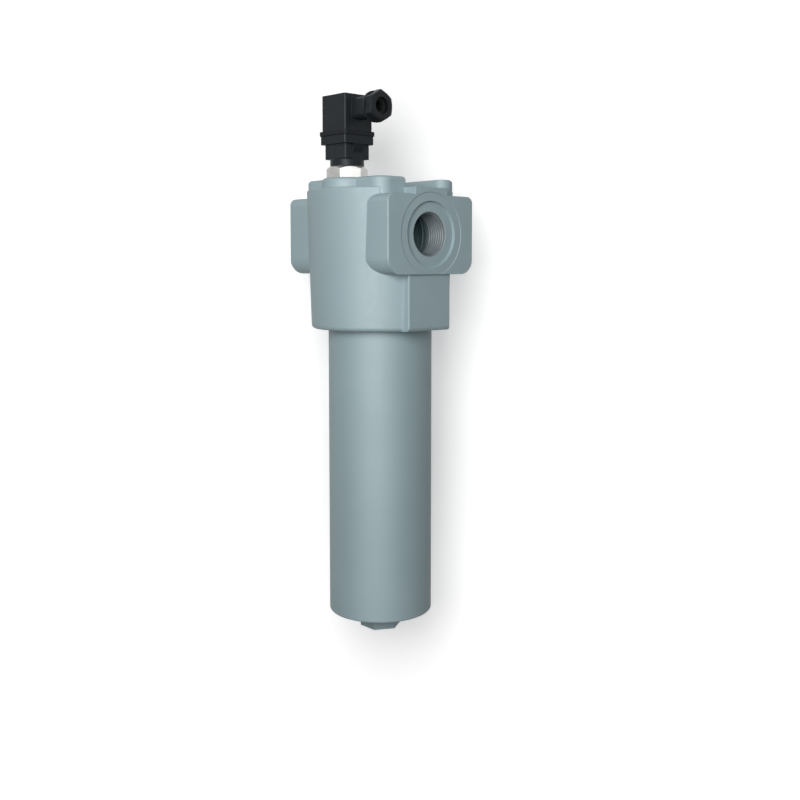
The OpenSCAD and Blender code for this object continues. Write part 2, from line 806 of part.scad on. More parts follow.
// Neck, ribbed collar and square base, moulded in one
module switch_housing() {
    lug_w = 9.6;
    lug_h = 6;
    lug_x = (base_w - collar_w)/2;
    color(black_plastic) at_indicator() difference() {
        union() {
            translate([0, 0, wall_top_z + clear]) cylinder(h = neck_z - wall_top_z, r = pocket_d/2 - fit);
            translate([0, 0, neck_z]) cylinder(h = switch_neck_h + over, r = switch_neck_d/2);
            translate([0, 0, collar_z]) linear_extrude(collar_h) soft_rect(collar_w, collar_w, plug_round);
            translate([0, 0, base_z]) linear_extrude(base_h) soft_rect(base_w, base_w, plug_round);
            for (side = [-1, 1], i = [0:collar_ribs - 1])
                translate([(i - (collar_ribs - 1)/2)*collar_w/(collar_ribs + 1.5) - 0.6, 0, collar_z])
                    translate([0, side > 0 ? collar_w/2 - over : -collar_w/2 - rib_t, 0])
                        cube([1.2, rib_t + over, collar_h]);
            translate([collar_w/2, 0, base_z]) rotate([90, 0, 0]) linear_extrude(lug_w, center = true)
                polygon([[-over, 0], [lug_x, 0], [0, -lug_h], [-over, -lug_h]]);
        }
        translate([0, 0, wall_top_z]) cylinder(h = reed_l + 4, r = reed_d/2 + 0.2);
        translate([0, 0, gasket_z - screw_hole_depth])
            cylinder(h = screw_hole_depth + over, r = screw_d/2 + fit);
        blades(4, 0.05);
    }
}

// Four flat blades on a cross, sunk into the base by root and grown by gap
module blades(root, gap) {
    for (turn = [0:3]) rotate([0, 0, 90*turn])
        translate([-blade_w/2 - gap, blade_r - blade_t/2 - gap, gasket_z - root])
            cube([blade_w + 2*gap, blade_t + 2*gap, blade_h + root]);
}

module contact_pins() {
    color(brass) at_indicator() blades(3.9, 0);
}

module connector_gasket() {
    color(rubber) at_indicator() translate([0, 0, gasket_z + 0.1])
        linear_extrude(gasket_t - 0.1) difference() {
            soft_rect(gasket_w, gasket_w, plug_round + 0.5);
            square(2*blade_r + blade_t + 1.4, center = true);
        }
}

module plug_housing() {
    color(black_plastic) {
        difference() {
            union() {
                at_indicator() translate([0, 0, plug_z])
                    linear_extrude(plug_h) soft_rect(plug_w, plug_w, plug_round);
                at_outlet() {
                    translate([outlet_reach/2, 0, 0]) along_x(outlet_reach) soft_rect(outlet_w, outlet_w, 3);
                    rod_x(ring_x, outlet_ring_t, outlet_ring_d/2);
                    rod_x(ring_x, outlet_ring_t + spout_l, spout_d/2);
                }
            }
            at_indicator() translate([0, 0, plug_z - over]) linear_extrude(plug_h - 3.5 - screw_head_h + over)
                soft_rect(plug_w - 2*plug_wall, plug_w - 2*plug_wall, 1);
            at_outlet() {
                rod_x(0, spout_end_x + over, cable_bore/2);
                rod_x(spout_end_x - gland_seal_l, gland_seal_l + over, seal_pocket_d/2);
            }
            at_indicator() {
                translate([0, 0, plug_z]) cylinder(h = plug_h + over, r = screw_d/2 + 0.1);
                translate([0, 0, screw_seat_z - screw_seal_t]) cylinder(h = plug_h, r = screw_head_d/2 + 0.5);
            }
        }
    }
}

module terminal_insert() {
    color([0.25, 0.27, 0.28]) at_indicator() difference() {
        translate([0, 0, plug_z + 2*fit]) linear_extrude(insert_h) soft_rect(insert_w, insert_w, 1);
        for (turn = [0:3]) rotate([0, 0, 90*turn])
            translate([-blade_w/2 - clear, blade_r - blade_t/2 - clear, plug_z - over])
                cube([blade_w + 2*clear, blade_t + 2*clear, insert_h + 2*over]);
        translate([0, 0, plug_z - over]) cylinder(h = insert_h + 2*over, r = screw_d/2 + 0.15);
    }
}

// Clamping screws that stand on the terminal insert
module terminal_screws() {
    color(bright) at_indicator() for (turn = [0:3]) rotate([0, 0, 90*turn + 45])
        translate([terminal_r, 0, plug_z + 2*fit + insert_h]) cylinder(h = terminal_h, r = terminal_d/2);
}

module fixing_screw() {
    low = gasket_z - screw_hole_depth + 0.5;
    color(steel) at_indicator() difference() {
        union() {
            translate([0, 0, screw_seat_z]) cylinder(h = screw_head_h, r = screw_head_d/2);
            translate([0, 0, low]) cylinder(h = screw_seat_z - low + over, r = screw_d/2);
        }
        translate([-screw_head_d, -0.5, screw_seat_z + screw_head_h - 1]) cube([2*screw_head_d, 1, 2]);
    }
}

module fixing_screw_seal() {
    color(rubber) at_indicator()
        ring_z(screw_seat_z - screw_seal_t + 0.05, screw_seal_t - 0.1, screw_head_d/2, screw_d/2 + fit);
}

module gland_seal() {
    color(rubber) at_outlet()
        ring_x(spout_end_x - gland_seal_l, gland_seal_l, seal_pocket_d/2 - fit, seal_bore/2);
}

module gland_washer() {
    color(steel) at_outlet() ring_x(spout_end_x + 0.1, washer_t, spout_d/2 - 0.3, cable_bore/2);
}

module gland_nut() {
    color(black_plastic) at_outlet() difference() {
        intersection() {
            translate([nut_x, 0, 0]) rotate([0, 90, 0]) cylinder(h = nut_l, r = nut_af/2/cos(30), $fn = 6);
            rotate([0, 90, 0]) rotate_extrude() polygon([
                [0, nut_x], [nut_af/2/cos(30), nut_x], [nut_af/2/cos(30), nut_end_x - 1.2],
                [nut_af/2 - 0.6, nut_end_x], [0, nut_end_x]
            ]);
        }
        rod_x(nut_x - over, spout_end_x + washer_t + 0.2 - nut_x + over, spout_d/2 + fit);
        rod_x(nut_x, nut_l + over, nut_mouth/2);
    }
}

filter_head();
filter_bowl();
bowl_o_ring();
bowl_backup_ring();
element_top_cap();
element_o_ring();
element_support_tube();
pleated_media();
element_bottom_cap();
bypass_seat();
bypass_poppet();
bypass_spring();
bypass_retainer();
indicator_body();
indicator_seal();
indicator_piston();
piston_magnet();
piston_spring();
piston_stop();
reed_switch();
switch_housing();
contact_pins();
connector_gasket();
plug_housing();
terminal_insert();
terminal_screws();
fixing_screw();
fixing_screw_seal();
gland_seal();
gland_washer();
gland_nut();
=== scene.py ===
"""High pressure filter: finishes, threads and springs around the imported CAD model."""
import json
import math

import bpy
from mathutils import Matrix, Vector


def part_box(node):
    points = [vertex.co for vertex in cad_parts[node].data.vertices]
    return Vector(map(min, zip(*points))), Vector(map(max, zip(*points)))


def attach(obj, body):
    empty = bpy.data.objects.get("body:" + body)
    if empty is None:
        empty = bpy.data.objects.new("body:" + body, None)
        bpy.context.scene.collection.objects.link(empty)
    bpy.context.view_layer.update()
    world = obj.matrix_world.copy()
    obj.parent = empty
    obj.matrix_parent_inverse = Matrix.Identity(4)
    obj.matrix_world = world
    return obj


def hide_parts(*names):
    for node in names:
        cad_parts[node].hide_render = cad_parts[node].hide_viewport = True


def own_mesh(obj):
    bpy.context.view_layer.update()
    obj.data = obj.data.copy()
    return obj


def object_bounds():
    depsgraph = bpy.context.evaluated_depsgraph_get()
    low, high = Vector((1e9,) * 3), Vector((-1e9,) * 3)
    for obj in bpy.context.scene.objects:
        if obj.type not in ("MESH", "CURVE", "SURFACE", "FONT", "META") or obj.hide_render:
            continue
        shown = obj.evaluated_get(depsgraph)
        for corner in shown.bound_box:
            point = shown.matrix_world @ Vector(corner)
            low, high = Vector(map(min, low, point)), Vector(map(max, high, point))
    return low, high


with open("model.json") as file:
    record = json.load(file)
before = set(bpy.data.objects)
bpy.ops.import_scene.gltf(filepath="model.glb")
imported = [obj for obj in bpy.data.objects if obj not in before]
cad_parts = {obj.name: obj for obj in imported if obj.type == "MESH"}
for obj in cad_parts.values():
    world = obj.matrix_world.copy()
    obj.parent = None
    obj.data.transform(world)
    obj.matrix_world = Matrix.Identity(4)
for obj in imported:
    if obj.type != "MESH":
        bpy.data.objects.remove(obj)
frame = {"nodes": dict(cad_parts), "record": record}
cad_low, cad_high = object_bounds()

MM = 0.001

# Camera of the photograph, fitted to its edges: 800 x 800 pixels
VIEW_AZIMUTH = math.radians(46.71)
VIEW_PITCH = math.radians(4.78)
VIEW_DISTANCE = 798.1 * MM
VIEW_SIDE_STEP = 15.56 * MM
VIEW_HEIGHT = -61.1 * MM
VIEW_FOCAL_PX = 1023.2
VIEW_CENTRE_PX = 345.9
PHOTO_PX = 800
SENSOR_MM = 36.0

CLIP_NEAR = 0.01
CLIP_FAR = 100.0

UP = Vector((0.0, 0.0, 1.0))
ALONG_X = Vector((1.0, 0.0, 0.0))
BLACK = (0.0, 0.0, 0.0, 1.0)
WHITE = (1.0, 1.0, 1.0, 1.0)

# Studio: a broad key lamp in front, a lamp behind, and faint light from all sides.
# Azimuths are in degrees right of the camera, and elevations in degrees.
AMBIENT = 0.12
LIT_PLACE = UP * -140.0 * MM
LAMP_DISTANCE = 900.0 * MM
LAMP_WIDTH = 560.0 * MM
KEY_AZIMUTH = -10.0
KEY_ELEVATION = 15.0
KEY_LEVEL = 0.95
BACK_AZIMUTH = 180.0
BACK_ELEVATION = 12.0
BACK_LEVEL = 0.5
# Sheet of paper behind the object. It glows, but less within the first of these two
# distances from the object's axis, and fully from the second on.
PAPER_GAP = 78.0 * MM
PAPER_WIDTH = 3.0
# Painted shadow: the sheet's glow is weaker behind the object, deepening the key lamp's real shadow
PAINTED_SHADOW_GLOW = (0.45, 0.45, 0.45, 1.0)
PAPER_GLOW_AROUND = (0.76, 0.76, 0.76, 1.0)
PAINTED_SHADOW_REACH = (52.0 * MM, 115.0 * MM)
# Distances along the axis count for this share, because the object is tall
GLOW_FLATTEN = 0.3
# Share of the glow that the object mirrors
GLOW_MIRRORED = 0.5
# Black boards: name, azimuth, distance and width in metres
FLAGS = (("right_flag", 65.0, 0.6, 1.1), ("left_flag", -88.0, 0.4, 0.8))
FLAG_HEIGHT = 0.8
FLAG_TOP = 0.0

# Places that the scene takes from the frame
MIDDLE_HEIGHT = (cad_low.z + cad_high.z) / 2
HEAD_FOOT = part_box("filter_head")[0].z
MOUNTS = {mount["name"]: mount for mount in frame["record"]["mounts"]}
JOINTS = {joint["name"]: joint for joint in frame["record"]["behaviour"]["joints"]}
PORT_AXIS = Vector(MOUNTS["inlet_port"]["pos_m"])
PORT_RADIUS = MOUNTS["inlet_port"]["dims"]["r_mm"] * MM
PORT_LENGTH = MOUNTS["inlet_port"]["dims"]["length_mm"] * MM
HOLE_RADIUS = MOUNTS["top_holes"]["dims"]["hole_r_mm"] * MM
HOLE_X = MOUNTS["top_holes"]["dims"]["spacing_x_mm"] * MM / 2
HOLE_Y = MOUNTS["top_holes"]["dims"]["spacing_y_mm"] * MM / 2

PORT_MOUTH = PORT_AXIS.x + PORT_LENGTH / 2
PORT_END = PORT_AXIS.x - PORT_LENGTH / 2
NUT_LOW, NUT_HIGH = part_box("gland_nut")
NUT_AXIS = (NUT_LOW + NUT_HIGH) / 2

# Where the looks of one piece change
THREAD_SKIN = 0.3 * MM
HOLE_END = -16.0 * MM
OIL_TOP = -15.0 * MM
NUT_MOUTH_RADIUS = 6.1 * MM

# Pipe thread of the ports
PORT_PITCH = 2.309 * MM
PORT_RIDGE = 1.35 * MM
PORT_LEAD_IN = 1.2 * MM
# Thread of the bowl, over its shoulder
BOWL_PITCH = 2.0 * MM
BOWL_SHOULDER = HEAD_FOOT - 0.2 * MM
BOWL_THREAD_TOP = HEAD_FOOT + 21.5 * MM
# Metric thread of the mounting holes
HOLE_PITCH = 1.25 * MM
HOLE_RIDGE = 0.7 * MM
HOLE_LEAD_IN = 0.8 * MM
HOLE_DEPTH = 12.5 * MM
# Ridges of the threads: steps in a turn, sides, and the share by which they stand inward
RIDGE_STEPS = 48
RIDGE_SIDES = 4
RIDGE_INSET = 0.1
# Springs: steps in a turn, sides of the wire, turns and thickness of each
WIRE_STEPS = 32
WIRE_SIDES = 16
BYPASS_TURNS = 6.0
BYPASS_WIRE = 1.4 * MM
INDICATOR_TURNS = 5.0
INDICATOR_WIRE = 0.7 * MM


class Number:
    """A value socket. Arithmetic on it adds the Math nodes."""

    def __init__(self, tree, socket):
        self.tree = tree
        self.socket = socket

    def calc(self, operation, first, second=0.0):
        node = self.tree.add("ShaderNodeMath", {"operation": operation}, {0: first, 1: second})
        return node.number("Value")

    def __add__(self, other):
        return self.calc("ADD", self, other)

    def __radd__(self, other):
        return self.calc("ADD", other, self)

    def __sub__(self, other):
        return self.calc("SUBTRACT", self, other)

    def __rsub__(self, other):
        return self.calc("SUBTRACT", other, self)

    def __mul__(self, other):
        return self.calc("MULTIPLY", self, other)

    def __rmul__(self, other):
        return self.calc("MULTIPLY", other, self)

    def __pow__(self, other):
        return self.calc("POWER", self, other)

    def __or__(self, other):
        return self.calc("MAXIMUM", self, other)

    def __lt__(self, other):
        return self.calc("LESS_THAN", self, other)

    def __gt__(self, other):
        return self.calc("GREATER_THAN", self, other)

    def __abs__(self):
        return self.calc("ABSOLUTE", self)

    def fraction(self):
        """What is left of it over the whole number below."""
        return self.calc("FRACT", self)

    def turned(self, other):
        """Angle of the point (self, other) from the first axis, in whole turns."""
        return self.calc("ARCTAN2", other, self) * (0.5 / math.pi)


class Made:
    """A node that was added, with its outputs at hand."""

    def __init__(self, tree, node):
        self.tree = tree
        self.node = node

    def out(self, name):
        return socket_named(self.node.outputs, name)

    def number(self, name):
        return Number(self.tree, self.out(name))


def socket_named(sockets, name):
    """A socket by its index, its name or its identifier."""
    if isinstance(name, int):
        return sockets[name]
    return next(socket for socket in sockets if name in (socket.identifier, socket.name))


class Tree:
    """Any node tree. Every node in it goes through add."""

    def __init__(self, node_tree):
        self.nodes = node_tree.nodes
        self.links = node_tree.links
        self.nodes.clear()

    def add(self, kind, settings=None, sockets=None):
        """Adds a node: its settings first, then the values or links of its sockets."""
        node = self.nodes.new(kind)
        for name, value in (settings or {}).items():
            setattr(node, name, value)
        for name, value in (sockets or {}).items():
            if isinstance(value, Number):
                value = value.socket
            if isinstance(value, bpy.types.NodeSocket):
                self.links.new(value, socket_named(node.inputs, name))
            else:
                socket_named(node.inputs, name).default_value = value
        return Made(self, node)

    def ramp(self, value, low, high, to_low=0.0, to_high=1.0):
        """Value mapped from low..high to to_low..to_high, and held beyond."""
        sockets = {
            "Value": value, "From Min": low, "From Max": high, "To Min": to_low, "To Max": to_high,
        }
        return self.add("ShaderNodeMapRange", {"clamp": True}, sockets).number("Result")

    def spread(self, noise, low=0.0, high=1.0):
        """The middle of a noise, where most of it lies, mapped to low..high."""
        return self.ramp(noise, 0.3, 0.7, low, high)

    def blend(self, mask, first, second):
        """Colour first where the mask is 0, and second where it is 1."""
        sockets = {"Factor_Float": mask, "A_Color": first, "B_Color": second}
        return self.add("ShaderNodeMix", {"data_type": "RGBA"}, sockets).out("Result_Color")


class Finish(Tree):
    """A node material on Object coordinates, in metres."""

    def __init__(self, name):
        self.material = bpy.data.materials.new(name)
        self.material.use_nodes = True
        super().__init__(self.material.node_tree)
        self.place = self.add("ShaderNodeTexCoord").out("Object")

    def axes(self):
        """X, Y and Z of the place, as numbers."""
        split = self.add("ShaderNodeSeparateXYZ", sockets={"Vector": self.place})
        return [split.number(axis) for axis in "XYZ"]

    def noise(self, scale, detail=2.0, roughness=0.5, stretch=None):
        """Noise from 0 to 1, at a scale in features per metre."""
        place = self.place
        if stretch:
            mapping = self.add("ShaderNodeMapping", sockets={"Vector": place, "Scale": stretch})
            place = mapping.out("Vector")
        sockets = {"Vector": place, "Scale": scale, "Detail": detail, "Roughness": roughness}
        return self.add("ShaderNodeTexNoise", sockets=sockets).number("Fac")

    def tone(self, low, high, scale):
        """Colour that drifts between two near tones in soft clouds."""
        return self.blend(self.spread(self.noise(scale)), low, high)

    def relief(self, height, distance, soft_edge=0.0):
        """Bump from a height of 0 to 1, over edges that look rounded by soft_edge."""
        sockets = {"Height": height, "Strength": 1.0, "Distance": distance}
        if soft_edge:
            bevel = self.add("ShaderNodeBevel", {"samples": 8}, {"Radius": soft_edge})
            sockets["Normal"] = bevel.out("Normal")
        return self.add("ShaderNodeBump", sockets=sockets).out("Normal")

    def surface(self, **sockets):
        """Closes the material with its shader. Underscores in the names stand for spaces."""
        named = {name.replace("_", " "): value for name, value in sockets.items()}
        shader = self.add("ShaderNodeBsdfPrincipled", sockets=named)
        self.add("ShaderNodeOutputMaterial", sockets={"Surface": shader.out("BSDF")})
        return self.material


def srgb(red, green, blue):
    """Linear colour of a screen colour given as 0 to 255."""
    def channel(value):
        value /= 255.0
        return value / 12.92 if value <= 0.04045 else ((value + 0.055) / 1.055) ** 2.4
    return (channel(red), channel(green), channel(blue), 1.0)


PAINT_HIGH = srgb(146, 167, 172)
PAINT_LOW = srgb(140, 161, 166)
CUT_METAL = srgb(112, 120, 124)
# Painted light: a lighter colour for the oil space, in place of the light that hardly reaches it
INSIDE_PAINTED_LIGHT = srgb(158, 192, 198)
# Painted shade: a darker colour for the step and bore behind each port thread, deep in the port
STEP_PAINTED_SHADE = srgb(64, 84, 90)
PAINT_SHINE = 0.8
PAINT_IOR = 1.65
BARE_METALLIC = 0.25
BARE_POLISH = 0.18


def head_finish():
    """Satin paint over a casting, bare in its threads, with painted shade behind the port threads
    and painted light in the oil space.
    """
    finish = Finish("painted_casting")
    x, y, z = finish.axes()
    port_z = z - PORT_AXIS.z
    off_port = (y * y + port_z * port_z) ** 0.5
    in_port = (off_port < PORT_RADIUS + THREAD_SKIN) * (abs(x) < PORT_MOUTH - PORT_LEAD_IN / 2)
    # Painted shade on the step and bore behind each port thread
    step_painted_shade_mask = in_port * (abs(x) < PORT_END + THREAD_SKIN)
    hole_x = abs(x) - HOLE_X
    hole_y = abs(y) - HOLE_Y
    off_hole = (hole_x * hole_x + hole_y * hole_y) ** 0.5
    in_hole = (off_hole < HOLE_RADIUS + THREAD_SKIN) * (z > HOLE_END)
    bare = in_port | in_hole
    # Painted light: the oil space gets a lighter colour than the paint, in place of light
    painted_light_inside = ((x * x + y * y) ** 0.5 < PORT_END + THREAD_SKIN) * (z < OIL_TOP)
    cast_grain = finish.noise(900.0, 3.0, 0.55)
    orange_peel = finish.noise(260.0)
    paint = finish.tone(PAINT_LOW, PAINT_HIGH, 18.0)
    with_bare = finish.blend(bare, paint, CUT_METAL)
    with_step_painted_shade = finish.blend(step_painted_shade_mask, with_bare, STEP_PAINTED_SHADE)
    return finish.surface(
        Base_Color=finish.blend(painted_light_inside, with_step_painted_shade, INSIDE_PAINTED_LIGHT),
        Roughness=finish.spread(orange_peel, 0.58, 0.66),
        Specular_IOR_Level=PAINT_SHINE,
        IOR=PAINT_IOR,
        Metallic=bare * BARE_METALLIC,
        Normal=finish.relief(cast_grain * 0.35 + orange_peel * 0.65, 0.05 * MM, 0.7 * MM),
    )


def bowl_finish():
    """The same paint on a turned bowl, with faint rings from the tool and a bare threaded neck."""
    finish = Finish("painted_turning")
    x, y, z = finish.axes()
    neck = z > BOWL_SHOULDER
    pitches = z * (1.0 / BOWL_PITCH) - x.turned(y)
    ridge = abs(pitches.fraction() * 2.0 - 1.0) * neck * (z < BOWL_THREAD_TOP)
    rings = finish.noise(420.0, stretch=(0.02, 0.02, 1.0))
    orange_peel = finish.noise(300.0)
    paint = finish.tone(PAINT_LOW, PAINT_HIGH, 14.0)
    return finish.surface(
        Base_Color=finish.blend(neck, paint, CUT_METAL),
        Metallic=neck * BARE_METALLIC,
        Roughness=finish.spread(rings, 0.58, 0.64) - neck * BARE_POLISH,
        Specular_IOR_Level=PAINT_SHINE,
        IOR=PAINT_IOR,
        Normal=finish.relief(rings * 0.008 + orange_peel * 0.012 + ridge * 0.9, MM, 0.5 * MM),
    )


def plastic_finish(name, low, high, roughness, shine=0.5):
    """Moulded plastic with a fine spark texture and a slightly uneven tone."""
    finish = Finish(name)
    spark = finish.noise(2600.0, 2.0, 0.6)
    return finish.surface(
        Base_Color=finish.tone(low, high, 90.0),
        Roughness=finish.spread(spark, roughness - 0.05, roughness + 0.05),
        Specular_IOR_Level=shine,
        Normal=finish.relief(spark, 0.01 * MM, 0.5 * MM),
    )


def nut_finish():
    """The gland nut's plastic, with painted shade in its mouth: near black and matte there."""
    finish = Finish("black_nut_polyamide")
    y, z = finish.axes()[1:]
    off_y, off_z = y - NUT_AXIS.y, z - NUT_AXIS.z
    # Painted shade: the nut's face within its mouth is near black and matte
    mouth_painted_shade = (off_y * off_y + off_z * off_z) ** 0.5 < NUT_MOUTH_RADIUS
    spark = finish.noise(2600.0, 2.0, 0.6)
    moulded = finish.tone(srgb(27, 31, 34), srgb(30, 34, 37), 90.0)
    return finish.surface(
        Base_Color=finish.blend(mouth_painted_shade, moulded, srgb(4, 5, 6)),
        Roughness=finish.spread(spark, 0.34, 0.42) | mouth_painted_shade * 0.9,
        Specular_IOR_Level=0.14,
        Normal=finish.relief(spark, 0.01 * MM, 0.5 * MM),
    )


def metal_finish(name, low, high, roughness, stretch, soft_edge=0.25 * MM, metallic=1.0):
    """Turned or drawn metal: noise drawn out along the marks of the tool."""
    finish = Finish(name)
    marks = finish.noise(1500.0, 3.0, 0.6, stretch=stretch)
    return finish.surface(
        Base_Color=finish.tone(low, high, 120.0),
        Metallic=metallic,
        Roughness=finish.spread(marks, roughness - 0.04, roughness + 0.06),
        Normal=finish.relief(marks, 0.006 * MM, soft_edge),
    )


def rubber_finish(name, low, high):
    """Moulded rubber with a dusty bloom."""
    finish = Finish(name)
    bloom = finish.noise(700.0, 3.0, 0.6)
    return finish.surface(
        Base_Color=finish.blend(finish.ramp(bloom, 0.35, 0.7), low, high),
        Roughness=finish.spread(bloom, 0.6, 0.75),
        Specular_IOR_Level=0.2,
        Normal=finish.relief(bloom, 0.02 * MM, 0.3 * MM),
    )


def media_finish():
    """Pleated glass fibre between two fine meshes."""
    finish = Finish("pleated_fibre")
    fibres = finish.noise(1800.0, 4.0, 0.6, stretch=(1.0, 1.0, 0.25))
    mesh = finish.add(
        "ShaderNodeTexWave", {"wave_type": "BANDS", "bands_direction": "Z"},
        {"Vector": finish.place, "Scale": 400.0, "Distortion": 0.6},
    ).number("Fac")
    return finish.surface(
        Base_Color=finish.blend(
            finish.spread(fibres), srgb(206, 202, 186), srgb(232, 229, 216)),
        Roughness=finish.ramp(fibres, 0.2, 0.8, 0.75, 0.9),
        Normal=finish.relief(mesh * 0.5 + fibres * 0.5, 0.05 * MM),
    )


def glass_finish():
    """Greenish glass of the reed capsule."""
    finish = Finish("capsule_glass")
    streak = finish.noise(500.0)
    return finish.surface(
        Base_Color=finish.blend(
            finish.spread(streak), srgb(150, 180, 160), srgb(180, 205, 188)),
        Roughness=finish.spread(streak, 0.05, 0.12),
        Alpha=finish.spread(streak, 0.5, 0.65),
    )


# How far the marks on a metal are drawn out along X, Y and Z
MARKS_ROUND_Z = (0.05, 0.05, 1.0)
MARKS_ROUND_X = (0.05, 1.0, 1.0)
MARKS_EVEN = (1.0, 1.0, 1.0)
MARKS_ROLLED = (1.0, 1.0, 0.3)
MARKS_UPRIGHT = (1.0, 1.0, 0.2)

STEEL = srgb(168, 169, 172), srgb(190, 191, 193)
ZINC = srgb(176, 179, 178), srgb(198, 200, 199)
WIRE = srgb(150, 151, 154), srgb(176, 177, 180)
NICKEL = srgb(204, 203, 200), srgb(216, 215, 213)

turned_steel = metal_finish("turned_steel", *STEEL, 0.3, MARKS_ROUND_Z)
black_steel = metal_finish(
    "blackened_steel", srgb(12, 13, 14), srgb(18, 19, 20), 0.6, MARKS_EVEN, metallic=0.3)
zinc_steel = metal_finish("zinc_plated_sheet", *ZINC, 0.36, MARKS_ROLLED)
spring_steel = metal_finish("spring_wire", *WIRE, 0.28, MARKS_EVEN)
cut_metal = metal_finish(
    "cut_thread_metal", CUT_METAL, srgb(126, 134, 138), 0.45, MARKS_EVEN, 0.1 * MM, BARE_METALLIC)
nickel = metal_finish("nickel_plate", *NICKEL, 0.36, MARKS_UPRIGHT, 0.35 * MM)
magnet = metal_finish("sintered_magnet", srgb(86, 86, 90), srgb(104, 104, 108), 0.5, MARKS_EVEN)
brass = metal_finish("tinned_brass", srgb(202, 178, 120), srgb(216, 196, 142), 0.28, MARKS_UPRIGHT)
black_plastic = plastic_finish("black_polyamide", srgb(30, 35, 38), srgb(33, 38, 41), 0.4, 0.14)
grey_plastic = plastic_finish("grey_terminal_plastic", srgb(70, 74, 78), srgb(82, 86, 90), 0.5)
white_plastic = plastic_finish("ivory_ring_plastic", srgb(214, 210, 196), srgb(228, 225, 214), 0.45)
rubber = rubber_finish("seal_rubber", srgb(11, 12, 14), srgb(17, 18, 20))
gasket_rubber = rubber_finish("flange_gasket_rubber", srgb(22, 25, 28), srgb(29, 32, 35))

NODE_FINISHES = {
    "filter_head": head_finish(),
    "filter_bowl": bowl_finish(),
    "bowl_o_ring": rubber,
    "bowl_backup_ring": white_plastic,
    "element_top_cap": zinc_steel,
    "element_o_ring": rubber,
    "element_support_tube": zinc_steel,
    "pleated_media": media_finish(),
    "element_bottom_cap": zinc_steel,
    "bypass_seat": turned_steel,
    "bypass_poppet": metal_finish("poppet_steel", *STEEL, 0.3, MARKS_ROUND_X),
    "bypass_spring": spring_steel,
    "bypass_retainer": turned_steel,
    "indicator_body": nickel,
    "indicator_seal": rubber,
    "indicator_piston": turned_steel,
    "piston_magnet": magnet,
    "piston_spring": spring_steel,
    "piston_stop": turned_steel,
    "reed_switch": glass_finish(),
    "switch_housing": black_plastic,
    "contact_pins": brass,
    "connector_gasket": gasket_rubber,
    "plug_housing": black_plastic,
    "terminal_insert": grey_plastic,
    "terminal_screws": turned_steel,
    "fixing_screw": turned_steel,
    "fixing_screw_seal": rubber,
    "gland_seal": rubber,
    "gland_washer": black_steel,
    "gland_nut": nut_finish(),
}


def dress_nodes():
    """Gives each CAD node its finish."""
    for name, node in frame["nodes"].items():
        finish = NODE_FINISHES[name]
        node.data.materials.clear()
        node.data.materials.append(finish)
        for polygon in node.data.polygons:
            polygon.material_index = 0


class Shape(Tree):
    """A Geometry Nodes tree under construction, with named inputs."""

    def __init__(self, name, inputs):
        self.group = bpy.data.node_groups.new(name, "GeometryNodeTree")
        self.group.is_modifier = True
        super().__init__(self.group)
        for label, kind in inputs:
            self.group.interface.new_socket(label, in_out="INPUT", socket_type=kind)
        self.group.interface.new_socket(
            "Geometry", in_out="OUTPUT", socket_type="NodeSocketGeometry")
        self.entry = self.add("NodeGroupInput")

    def close(self, geometry):
        """Ends the tree in real geometry with its material set."""
        real = self.add("GeometryNodeRealizeInstances", sockets={"Geometry": geometry})
        sockets = {"Geometry": real.out("Geometry"), "Material": self.entry.out("Finish")}
        named = self.add("GeometryNodeSetMaterial", sockets=sockets).out("Geometry")
        self.add("NodeGroupOutput", sockets={"Geometry": named})
        return self.group


def winding_tree():
    """A wire or ridge that winds round Z: a profile with any number of sides along a spiral."""
    shape = Shape("winding", [
        ("Radius", "NodeSocketFloat"), ("Length", "NodeSocketFloat"),
        ("Turns", "NodeSocketFloat"), ("Steps", "NodeSocketInt"),
        ("Profile Radius", "NodeSocketFloat"), ("Profile Sides", "NodeSocketInt"),
        ("Finish", "NodeSocketMaterial"),
    ])
    ask = shape.entry.out
    spiral = shape.add("GeometryNodeCurveSpiral", sockets={
        "Resolution": ask("Steps"), "Rotations": ask("Turns"),
        "Start Radius": ask("Radius"), "End Radius": ask("Radius"), "Height": ask("Length"),
    }).out("Curve")
    upright = shape.add(
        "GeometryNodeSetCurveNormal", {"mode": "Z_UP"}, {"Curve": spiral}).out("Curve")
    sides = {"Resolution": ask("Profile Sides"), "Radius": ask("Profile Radius")}
    profile = shape.add("GeometryNodeCurvePrimitiveCircle", sockets=sides).out("Curve")
    sweep = {"Curve": upright, "Profile Curve": profile, "Fill Caps": True}
    return shape.close(shape.add("GeometryNodeCurveToMesh", sockets=sweep).out("Mesh"))


def set_input(modifier, label, value):
    """Sets a modifier's input by the identifier of its socket."""
    for item in modifier.node_group.interface.items_tree:
        if item.item_type == "SOCKET" and item.in_out == "INPUT" and item.name == label:
            modifier[item.identifier] = value
            return
    raise KeyError(label)


def grow(name, tree, values, axis, start):
    """Runs a tree with these values and keeps its result as a plain mesh.

    The mesh winds from this start along this axis.
    """
    carrier = bpy.data.objects.new(name + "_carrier", bpy.data.meshes.new(name + "_carrier"))
    bpy.context.scene.collection.objects.link(carrier)
    modifier = carrier.modifiers.new("shape", "NODES")
    modifier.node_group = tree
    for label, value in values.items():
        set_input(modifier, label, value)
    graph = bpy.context.evaluated_depsgraph_get()
    mesh = bpy.data.meshes.new_from_object(carrier.evaluated_get(graph), depsgraph=graph)
    mesh.name = name
    bpy.data.objects.remove(carrier)
    mesh.transform(axis.to_track_quat("Z", "Y").to_matrix().to_4x4())
    mesh.transform(Matrix.Translation(start))
    piece = bpy.data.objects.new(name, mesh)
    bpy.context.scene.collection.objects.link(piece)
    for polygon in mesh.polygons:
        polygon.use_smooth = True
    return piece


